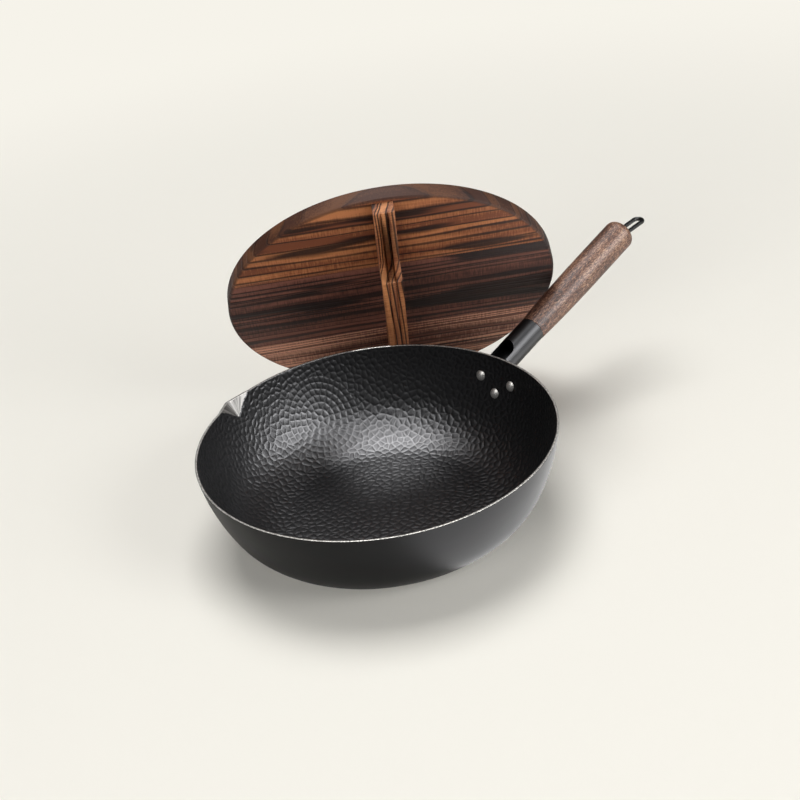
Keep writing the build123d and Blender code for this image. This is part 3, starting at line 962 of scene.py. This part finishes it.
right = Vector((1, 0, 0))
up = Vector((0, sin(camera_tilt), cos(camera_tilt)))
forward = Vector((0, cos(camera_tilt), -sin(camera_tilt)))
rolled_right = cos(camera_roll) * right + sin(camera_roll) * up
rolled_up = cos(camera_roll) * up - sin(camera_roll) * right
aim = to_room @ Matrix.Rotation(camera_yaw, 3, "Z")
axes = Matrix((aim @ rolled_right, aim @ rolled_up, aim @ -forward)).transposed()
camera_place = to_room @ Vector((0, -camera_back, camera_height))
camera.matrix_world = Matrix.Translation(camera_place) @ axes.to_4x4()
bpy.context.scene.camera = camera
print("lens %.1f mm" % camera_data.lens)

# %% [markdown]
# ## Paper floor
# The picture's ground is a plain cream. A brighter lamp would wash the pan out, so the paper
# does it: near the pan it is lit as real paper is and keeps the shadow, and further out it
# turns by degrees into plain cream light for the camera, for reflections and through glass.
# The picture's edges are then as even as a studio sweep.

# %% Floor
cream = "#f6f3ea"
floor_half = 5.0
near_glow_share = 0.1
glow_start = 0.45
glow_full = 1.6


def seen_rays(tree):
    """One where a ray comes from the camera, a reflection or through glass."""
    path = node(tree, "ShaderNodeLightPath").outputs
    rays = path["Is Camera Ray"]
    for other in ("Is Glossy Ray", "Is Transmission Ray"):
        rays = node(tree, "ShaderNodeMath", {0: rays, 1: path[other]}, operation="MAXIMUM").outputs[0]
    return rays


floor_material = bpy.data.materials.new("cream paper")
floor_material.use_nodes = True
tree = floor_material.node_tree
tree.nodes.clear()
paper = node(tree, "ShaderNodeBsdfDiffuse", {"Color": colour("#f8f5ec")})
glow = node(tree, "ShaderNodeEmission", {"Color": colour(cream), "Strength": 1.0})
spot = node(tree, "ShaderNodeTexCoord").outputs["Object"]
away = node(tree, "ShaderNodeVectorMath", {0: spot}, operation="LENGTH").outputs["Value"]
growing = {"Value": away, "From Min": glow_start, "From Max": glow_full, "To Min": near_glow_share}
glow_share = node(tree, "ShaderNodeMapRange", growing, interpolation_type="SMOOTHSTEP").outputs[0]
share = node(tree, "ShaderNodeMath", {0: seen_rays(tree), 1: glow_share}, operation="MULTIPLY").outputs[0]
surface = node(tree, "ShaderNodeMixShader", {0: share, 1: paper.outputs[0], 2: glow.outputs[0]})
node(tree, "ShaderNodeOutputMaterial", {"Surface": surface.outputs[0]})

floor_mesh = bpy.data.meshes.new("floor")
corners = [(x * floor_half, y * floor_half, 0) for x, y in ((-1, -1), (1, -1), (1, 1), (-1, 1))]
floor_mesh.from_pydata(corners, [], [(0, 1, 2, 3)])
floor_mesh.materials.append(floor_material)
floor = bpy.data.objects.new("floor", floor_mesh)
bpy.context.collection.objects.link(floor)
print("floor %.0f m wide, plain cream from %.1f m out" % (2 * floor_half, glow_full))

# %% [markdown]
# ## World
# A pale room all round would be the easy light, but black steel shows little but what it
# mirrors, and a pale room would turn it grey. So the world is cream for the camera only and
# nearly dark for everything else, which keeps the pan's dark side dark.

# %% World
room_light = 0.04

world = bpy.data.worlds.new("studio")
bpy.context.scene.world = world
world.use_nodes = True
tree = world.node_tree
tree.nodes.clear()
room = node(tree, "ShaderNodeBackground", {"Color": colour("#ffffff"), "Strength": room_light})
seen = node(tree, "ShaderNodeBackground", {"Color": colour(cream), "Strength": 1.0})
camera_ray = node(tree, "ShaderNodeLightPath").outputs["Is Camera Ray"]
sky = node(tree, "ShaderNodeMixShader", {0: camera_ray, 1: room.outputs[0], 2: seen.outputs[0]})
node(tree, "ShaderNodeOutputWorld", {"Surface": sky.outputs[0]})
print("room light", room_light, "of white")

# %% [markdown]
# ## Lamps and cards
# A wide lamp overhead throws the shadow and two in front open it up. Moving them until black
# steel mirrors them in the right places would spoil the shadow, so the bands of light on the
# pan are drawn with cards, as a photographer does: lamps that only reflections see. One hangs
# over the front and one at the right. A round one lies on the table for the outside of the
# pan, and a small one close under the lid draws the band on the floor of the bowl, because
# the lid hides whatever hangs above it.

# %% Lamps


def softbox(name, place, size, power, diffuse=True, glossy=True):
    """A square lamp at a place in the camera's room, aimed at the bowl."""
    data = bpy.data.lights.new(name, "AREA")
    data.size = size
    data.energy = power
    lamp = bpy.data.objects.new(name, data)
    bpy.context.collection.objects.link(lamp)
    lamp.location = to_room @ Vector(place)
    target = Vector((0, 0, bowl_height / 2))
    lamp.rotation_euler = (target - lamp.location).to_track_quat("-Z", "Y").to_euler()
    lamp.visible_diffuse = diffuse
    lamp.visible_glossy = glossy
    return lamp


softbox("overhead", (-0.1, 0.8, 3.2), 2.0, 75.0)
softbox("front left", (-1.5, -2.2, 1.0), 1.6, 38.0, glossy=False)
softbox("front right", (1.75, -1.4, 1.3), 1.2, 24.0)
softbox("highlight card", (-0.1, -0.75, 2.4), 1.6, 60.0, diffuse=False)
softbox("side card", (2.1, -0.75, 1.3), 1.3, 52.0, diffuse=False)

reflector = softbox("reflector on the table", (0.5, -0.32, 0.004), 0.98, 5.6, diffuse=False)
reflector.data.shape = "DISK"
reflector.rotation_euler = (pi, 0, 0)

low_card = softbox("card under the lid", (0.005, 0.135, 0.095), 0.075, 0.024, diffuse=False)
card_aim = to_room @ Vector((0.01, -0.03, -0.095))
low_card.rotation_euler = card_aim.to_track_quat("-Z", "Y").to_euler()
low_card.data.spread = radians(50)

bpy.context.scene.view_settings.view_transform = "Standard"
